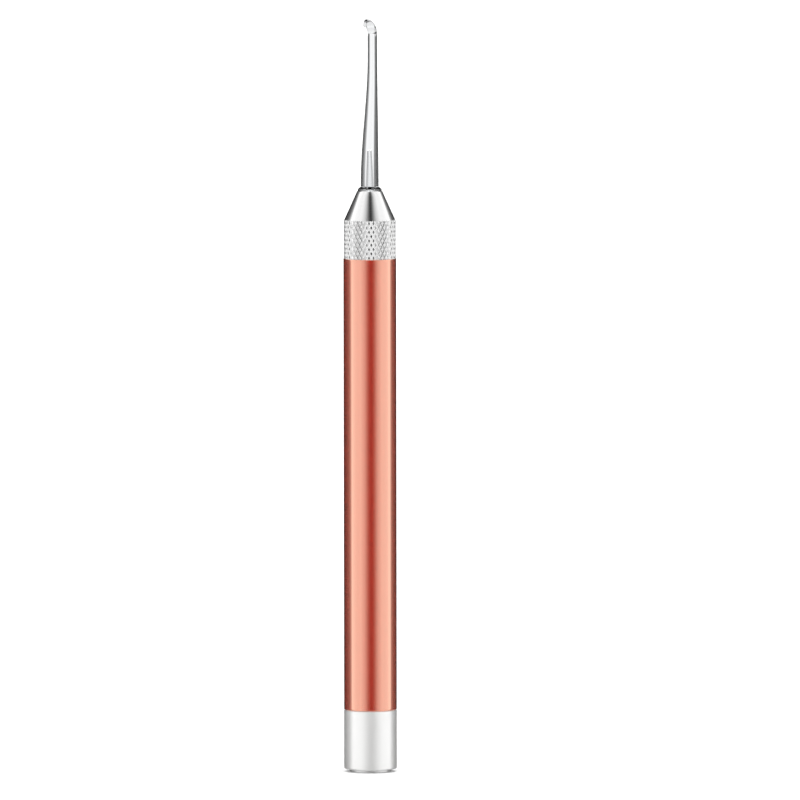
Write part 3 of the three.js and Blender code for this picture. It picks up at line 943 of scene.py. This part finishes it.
@dataclass
class EarTip(SubAssembly):
    """The clear spoon: ribbed plug, flange, leaning stem and a scoop with a hollow.

    Heights of the stem and the scoop are above the nose of the head.

    Attributes:
        plug_radius: Radius of the plug.
        plug_edge: Bevel at the plug's end.
        ribs: Crush ribs round the plug.
        rib_height: How far a rib stands out.
        rib_radius: Radius of a rib's own round.
        flange_radius: Radius of the flange on the nose.
        flange_height: Height of the flange.
        flange_edge: Bevel on it.
        flare: Length in which the flange runs into the stem.
        pocket_mouth: Radius of the tapered blind pocket at its mouth.
        pocket_end: Radius of the pocket's round end.
        pocket_height: Height of that end.
        stem: Radius of the stem at its foot.
        neck: Radius of the neck below the scoop.
        neck_offset: How far the neck leans to one side.
        neck_height: Height of the neck.
        slim_from: Height at which the stem begins to slim.
        slim_to: Height at which it has slimmed.
        lean_from: Height at which it begins to lean.
        lean_to: Height at which it has leaned.
        scoop_start: Length from the neck to the start of the scoop's bend.
        scoop_rise: Height of the bend.
        scoop_reach: Reach of the bend.
        scoop_width: Widest width of the scoop, as a control of its curve.
        lip_thickness: Thickness of the lip.
        lip_width: Width of the lip.
        lip_lean: How far the lip's inner edge leans out.
        lip_round: Depth of the lip's round end.
        lip_drop: How far that end points down.
        lip_power: Below 1, that end is squarer than round.
        bowl: Length, width and depth of the hollow.
        bowl_out: How far the hollow's middle stands out of the neck.
        bowl_up: Its height above the neck.
        bowl_tilt: Its tilt in degrees.
        bowl_steps: Steps from one end of the hollow to the other.
        pocket_steps: Steps of the pocket's round end.
        stem_steps: Steps up the stem.
        scoop_steps: Steps round the bend.
        lip_steps: Steps of the lip's round end.
    """

    node: str = "ear_spoon_tip"
    body: Body = Body.EAR_TIP
    slot: Slot = Slot.CLEAR_ACRYLIC
    finish: Finish = CLEAR_ACRYLIC
    plug_radius: float = 1.7
    plug_edge: float = 0.3
    ribs: int = 3
    rib_height: float = 0.05
    rib_radius: float = 0.25
    flange_radius: float = 2.3
    flange_height: float = 0.5
    flange_edge: float = 0.1
    flare: float = 0.3
    pocket_mouth: float = 0.72
    pocket_end: float = 0.3
    pocket_height: float = 8.0
    stem: float = 1.73
    neck: float = 0.91
    neck_offset: float = 0.56
    neck_height: float = 29.6
    slim_from: float = 0.8
    slim_to: float = 26.5
    lean_from: float = 2.0
    lean_to: float = 25.0
    scoop_start: float = 0.7
    scoop_rise: float = 2.75
    scoop_reach: float = 2.08
    scoop_width: float = 3.0
    lip_thickness: float = 1.5
    lip_width: float = 1.2
    lip_lean: float = 0.12
    lip_round: float = 0.47
    lip_drop: float = 0.25
    lip_power: float = 0.5
    bowl: tuple[float, float, float] = (2.1, 1.4, 0.6)
    bowl_out: float = 0.42
    bowl_up: float = 1.2
    bowl_tilt: float = 18.0
    bowl_steps: int = 34
    pocket_steps: int = 8
    stem_steps: int = 64
    scoop_steps: int = 24
    lip_steps: int = 12

    def build(self) -> Piece:
        """Builds one closed skin from the pocket's end out to the lip, and cuts its hollow.

        Returns:
            The tip.
        """
        rings = [*turned_rings(self.pocket_and_plug()), *self.stem_rings(), *self.scoop_rings()]
        made = skin("ear_spoon_clear", rings)
        combine(made, self.bowl_tool(), "DIFFERENCE")
        return made

    @property
    def nose(self) -> float:
        """The height of the head's nose in millimetres."""
        return node_span("knurled_head")[1]

    def plug_at(self, angle: float) -> float:
        """Gives the plug's radius, ribs included.

        Args:
            angle: The way round in radians.

        Returns:
            The radius at that angle.
        """
        spacing = FULL_TURN / self.ribs
        away = (angle + spacing / 2) % spacing - spacing / 2
        out = self.plug_radius + self.rib_height - self.rib_radius
        side = out * math.sin(away)
        if abs(side) > self.rib_radius:
            return self.plug_radius
        return max(self.plug_radius, out * math.cos(away) + math.sqrt(self.rib_radius**2 - side**2))

    def pocket_and_plug(self) -> Profile:
        """Gives the profile from the pocket's end, down it, round the plug and up over the flange.

        Returns:
            The profile's rows.
        """
        nose = self.nose
        plug_end = node_span(self.node)[0]
        top = nose + self.flange_height
        ball = (0.0, nose + self.pocket_height - self.pocket_end)
        return [
            (0, nose + self.pocket_height),
            *arc(ball, self.pocket_end, RIGHT_ANGLE - POLE_STEP, 0, self.pocket_steps),
            (self.pocket_mouth, plug_end),
            (self.plug_radius - self.plug_edge, plug_end),
            (self.plug_radius, plug_end + self.plug_edge),
            (self.plug_at, plug_end + 2 * self.plug_edge),
            (self.plug_at, nose - 2 * self.plug_edge),
            (self.plug_radius, nose - self.plug_edge),
            (self.plug_radius, nose),
            (self.flange_radius - self.flange_edge, nose),
            (self.flange_radius, nose + self.flange_edge),
            (self.flange_radius, top - self.flange_edge),
            (self.flange_radius - self.flange_edge, top),
        ]

    def section(self, inner: Vector, outer: Vector, half_width: float) -> Ring:
        """Gives one oval section of the stem.

        Args:
            inner: Its point on the scoop's open side.
            outer: Its point on the back.
            half_width: Half its width along Y.

        Returns:
            The section's ring.
        """
        middle = (inner + outer) / 2
        reach = outer - middle
        ring = []
        for k in range(SIDES):
            angle = FULL_TURN * k / SIDES
            point = middle + reach * math.cos(angle)
            ring.append(Vector((point.x, half_width * math.sin(angle), point.z)))
        return ring

    def stem_rings(self) -> list[Ring]:
        """Gives the stem's sections from the flare to the neck.

        Returns:
            The rings in order.
        """
        rings = []
        foot = self.flange_height + self.flare
        for i in range(self.stem_steps + 1):
            height = foot + (self.neck_height - foot) * i / self.stem_steps
            slim = smooth_step(height, self.slim_from, self.slim_to)
            half = self.stem + (self.neck - self.stem) * slim
            lean = self.neck_offset * smooth_step(height, self.lean_from, self.lean_to)
            level = self.nose + height
            rings.append(
                self.section(Vector((lean - half, 0, level)), Vector((lean + half, 0, level)), half)
            )
        return rings

    def scoop_rings(self) -> list[Ring]:
        """Gives the scoop's sections and the round of its lip.

        Returns:
            The rings in order, the last a single point.
        """
        start = self.nose + self.neck_height + self.scoop_start
        back = self.neck_offset + self.neck - self.scoop_reach
        lip_half = self.lip_width / 2
        swell = self.scoop_width - (self.neck + lip_half) / 2
        first = Vector((self.neck_offset - self.neck, 0, start))
        last = Vector((back - self.lip_lean, 0, start + self.scoop_rise - self.lip_thickness))
        rings = []
        for i in range(self.scoop_steps + 1):
            t = i / self.scoop_steps
            angle = t * math.pi / 2
            rise = self.scoop_rise * math.sin(angle)
            outer = Vector((back + self.scoop_reach * math.cos(angle), 0, start + rise))
            half = self.neck * (1 - t) ** 2 + 2 * swell * t * (1 - t) + lip_half * t**2
            rings.append(self.section(first.lerp(last, t), outer, half))
        end = rings[-1]
        middle = sum(end, Vector()) / len(end)
        point_out = Vector((self.lip_round, 0, self.lip_drop))
        for i in range(1, self.lip_steps):
            angle = i / self.lip_steps * math.pi / 2
            moved = middle - point_out * math.sin(angle) ** self.lip_power
            narrow = math.cos(angle) ** self.lip_power
            rings.append([moved + (point - middle) * narrow for point in end])
        rings.append([middle - point_out])
        return rings

    def bowl_tool(self) -> Piece:
        """Makes the egg-shaped tool that cuts the scoop's hollow.

        Returns:
            The tool's object.
        """
        length, width, depth = self.bowl
        turn = Matrix.Rotation(-math.radians(self.bowl_tilt), 4, "Y")
        out = self.neck_offset - self.neck - self.bowl_out
        middle = Vector((out, 0, self.nose + self.neck_height + self.bowl_up))
        near_pole = RIGHT_ANGLE - POLE_STEP / 2
        ball = [(0, -1), *arc((0, 0), 1, -near_pole, near_pole, self.bowl_steps), (0, 1)]
        rings = [
            [
                middle + turn @ Vector((p.x * depth, p.y * width / 2, p.z * length / 2))
                for p in ring
            ]
            for ring in turned_rings(ball, SIDES // 2)
        ]
        return skin("bowl_tool", rings)


@dataclass
class Insides:
    """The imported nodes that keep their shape: lamp, board, springs, cells and sleeve.

    Attributes:
        cells: Cells in the barrel.
    """

    cells: int = 3

    def dress(self) -> None:
        """Gives each node its finish."""
        finishes = dict(NODE_FINISHES)
        for i in range(1, self.cells + 1):
            finishes.update({f"cell_{i}_{piece}": finish for piece, finish in CELL_FINISHES.items()})
        for node, finish in finishes.items():
            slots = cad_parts[node].material_slots
            for slot in slots:
                slot.material = finish.material()
            LOG.info("%s keeps its shape in %s", node, finish.name)


@dataclass(frozen=True)
class Cover:
    """A plain colour that takes over from the surround between two slopes of view.

    Attributes:
        start: Slope at which it starts.
        end: Slope from which it covers its full share.
        tone: Its colour, as sRGB hex.
        share: The share that it covers.
    """

    start: float
    end: float
    tone: str
    share: float = 1.0


@dataclass
class Studio:
    """Plain white floor, soft surround and the camera at the photograph's angle.

    Attributes:
        image_px: Width and height of the picture in pixels.
        mm_per_px: Millimetres of the object in one pixel.
        axis_px: Pixel column of the barrel's axis.
        aim_height: Height on the axis that falls in the middle row, in millimetres.
        distance: Camera distance in metres.
        elevation: Camera elevation in degrees.
        roll: Lean of the picture in degrees.
        floor_radius: Radius of the floor in metres.
        panels: Brightness of the surround by degrees round from the camera, as metal mirrors it.
        panel_turn: How far the panels are turned to the right of the camera, in degrees.
        panel_spread: How far the panels' outer sides spread towards their tops.
        backdrop: Brightness by degrees round, left side negative, as seen through the clear tip.
        panel_covers: The pale floor, as metal mirrors it.
        backdrop_covers: Pale ground and air below and above the backdrop, the ceiling and the near floor.
        overhead: Strength of the overhead light.
        overhead_width: How wide that light is seen from the object, in degrees.
    """

    image_px: int = 800
    mm_per_px: float = 0.1921
    axis_px: float = 370.0
    aim_height: float = 71.6
    distance: float = 4.5
    elevation: float = 4.5
    roll: float = 0.08
    floor_radius: float = 6.0
    panels: Stops = (
        (0, 0.01), (5, 0.035), (10, 0.1), (15, 0.2), (20, 0.34), (28, 0.6), (35, 0.72),
        (42, 0.84), (47, 0.94), (62, 0.93), (75, 0.98), (84, 1.08), (92, 1.15), (97, 0.9),
        (101, 0.4), (108, 0.24), (114, 0.14), (130, 0.08), (155, 0.03), (180, 0.02),
    )
    panel_turn: float = 5.0
    panel_spread: float = 0.16
    backdrop: Stops = (
        (-180, 1.0), (-163, 1.0), (-160, 0.3), (-150, 0.12), (-139, 0.04), (-92, 0.03),
        (-78, 0.8), (78, 0.8),
        (92, 0.04), (125, 0.04), (134, 0.06), (146, 0.2), (155, 0.42), (161, 1.0), (180, 1.0),
    )
    panel_covers: tuple[Cover, ...] = (Cover(-0.14, -0.4, "#d8d8d8", 0.35),)
    backdrop_covers: tuple[Cover, ...] = (
        Cover(-0.16, -0.24, "#e6e6e6", 0.65),
        Cover(-0.05, -0.02, "#e6e6e6", 0.65),
        Cover(0.2, 0.6, "#ffffff"),
        Cover(-0.5, -0.9, "#909090"),
    )
    overhead: float = 3.0
    overhead_width: float = 60.0

    def build(self) -> None:
        """Makes the floor, the surround, the overhead light and the camera."""
        self.make_floor()
        self.make_surround()
        self.make_overhead()
        self.make_camera()

    def make_floor(self) -> None:
        """Makes a pale round floor that mirrors and lenses look past."""
        rim = turned_rings([(self.floor_radius / MM, 0)])[0]
        floor = link_mesh("studio_floor", rim, [tuple(range(SIDES))])
        floor.data.materials.append(WHITE_PAPER.material())
        floor.visible_glossy = False
        floor.visible_transmission = False

    def make_surround(self) -> None:
        """Makes the world: tall soft panels all round, and a white backdrop to the camera."""
        world = bpy.data.worlds.new("studio_surround")
        bpy.context.scene.world = world
        world.use_nodes = True
        tree = world.node_tree
        tree.nodes.clear()
        place = add_node(tree, "ShaderNodeTexCoord")
        axes = add_node(tree, "ShaderNodeSeparateXYZ", {0: place.outputs["Generated"]})
        front = add_node(tree, "ShaderNodeMath", {0: axes.outputs["Y"], 1: -1.0}, operation="MULTIPLY")
        sides = {0: axes.outputs["X"], 1: front.outputs[0]}
        round_ = add_node(tree, "ShaderNodeMath", sides, operation="ARCTAN2")
        shift = {0: round_.outputs[0], 1: math.radians(self.panel_turn)}
        turned = add_node(tree, "ShaderNodeMath", shift, operation="SUBTRACT")
        away = add_node(tree, "ShaderNodeMath", {0: turned.outputs[0]}, operation="ABSOLUTE")
        outer = add_node(tree, "ShaderNodeMath", {0: away.outputs[0], 1: 2.0}, operation="POWER")
        rise = {0: axes.outputs["Z"], 1: self.panel_spread}
        wider = add_node(tree, "ShaderNodeMath", rise, operation="MULTIPLY")
        swing = {0: outer.outputs[0], 1: wider.outputs[0]}
        spread = add_node(tree, "ShaderNodeMath", swing, operation="MULTIPLY")
        sides_at = {0: away.outputs[0], 1: spread.outputs[0]}
        panel_at = add_node(tree, "ShaderNodeMath", sides_at, operation="SUBTRACT")
        panels = self.ramp(tree, panel_at.outputs[0], self.panels)
        backdrop = self.ramp(tree, round_.outputs[0], self.backdrop)
        path = add_node(tree, "ShaderNodeLightPath")
        through = {
            "Fac": path.outputs["Is Transmission Ray"],
            1: self.cover(tree, panels, axes, self.panel_covers),
            2: self.cover(tree, backdrop, axes, self.backdrop_covers),
        }
        seen = add_node(tree, "ShaderNodeMixShader", through)
        white = add_node(tree, "ShaderNodeBackground", {"Color": linear("#ffffff")})
        camera = {"Fac": path.outputs["Is Camera Ray"], 1: seen.outputs[0], 2: white.outputs[0]}
        both = add_node(tree, "ShaderNodeMixShader", camera)
        add_node(tree, "ShaderNodeOutputWorld", {"Surface": both.outputs[0]})

    def cover(
        self, tree: Tree, surround: Socket, axes: bpy.types.Node, covers: tuple[Cover, ...]
    ) -> Socket:
        """Adds plain colours that take over from a surround by slope.

        Args:
            tree: The world's node tree.
            surround: The surround that gives way.
            axes: The node that splits the direction of view.
            covers: The colours, each over the ones before it.

        Returns:
            The covered surround.
        """
        for over in covers:
            fade = {"From Min": over.start, "From Max": over.end, "To Max": over.share}
            share = add_node(tree, "ShaderNodeMapRange", {"Value": axes.outputs["Z"], **fade})
            plain = add_node(tree, "ShaderNodeBackground", {"Color": linear(over.tone)})
            both = {"Fac": share.outputs[0], 1: surround, 2: plain.outputs[0]}
            surround = add_node(tree, "ShaderNodeMixShader", both).outputs[0]
        return surround

    def ramp(self, tree: Tree, angle: Socket, stops: Stops) -> Socket:
        """Adds a background whose brightness follows stops round the object.

        Args:
            tree: The world's node tree.
            angle: The way round from the camera in radians.
            stops: Degrees and brightness, from the least angle to the greatest.

        Returns:
            The background's output.
        """
        brightest = max(level for _, level in stops)
        first, last = stops[0][0], stops[-1][0]
        span = {"Value": angle, "From Min": math.radians(first), "From Max": math.radians(last)}
        part = add_node(tree, "ShaderNodeMapRange", span).outputs[0]
        bands = add_node(tree, "ShaderNodeValToRGB", {"Fac": part})
        elements = bands.color_ramp.elements
        while len(elements) < len(stops):
            elements.new(1.0)
        for element, (degrees, level) in zip(elements, stops):
            element.position = (degrees - first) / (last - first)
            grey = level / brightest
            element.color = (grey, grey, grey, 1.0)
        glow = {"Color": bands.outputs["Color"], "Strength": brightest}
        return add_node(tree, "ShaderNodeBackground", glow).outputs[0]

    def make_overhead(self) -> None:
        """Makes a broad light straight above, which whitens the floor."""
        lamp = bpy.data.lights.new("overhead_soft", "SUN")
        lamp.energy = self.overhead
        lamp.angle = math.radians(self.overhead_width)
        made = bpy.data.objects.new("overhead_soft", lamp)
        made.visible_glossy = False
        bpy.context.scene.collection.objects.link(made)

    def make_camera(self) -> None:
        """Makes the camera and sets the plain view transform."""
        lens = bpy.data.cameras.new("camera")
        lens.lens = lens.sensor_width * self.distance / (self.image_px * self.mm_per_px * MM)
        lens.clip_end = 2 * self.distance
        camera = bpy.data.objects.new("camera", lens)
        rise = math.radians(self.elevation)
        back = Vector((0, -math.cos(rise), math.sin(rise)))
        aim = Vector(((self.image_px / 2 - self.axis_px) * self.mm_per_px, 0, self.aim_height)) * MM
        camera.location = aim + back * self.distance
        look = (-back).to_track_quat("-Z", "Y").to_matrix()
        camera.rotation_euler = (look @ Matrix.Rotation(-math.radians(self.roll), 3, "Z")).to_euler()
        bpy.context.scene.collection.objects.link(camera)
        bpy.context.scene.camera = camera
        bpy.context.scene.view_settings.view_transform = "Standard"


def main() -> None:
    """Builds the sub-assemblies in order, dresses the insides and sets up the studio."""
    logging.basicConfig(level=logging.INFO, format="%(name)s: %(message)s")
    for part in (Barrel(), TailCap(), Head(), EarTip()):
        part.add()
    Insides().dress()
    Studio().build()


if __name__ == "__main__":
    main()
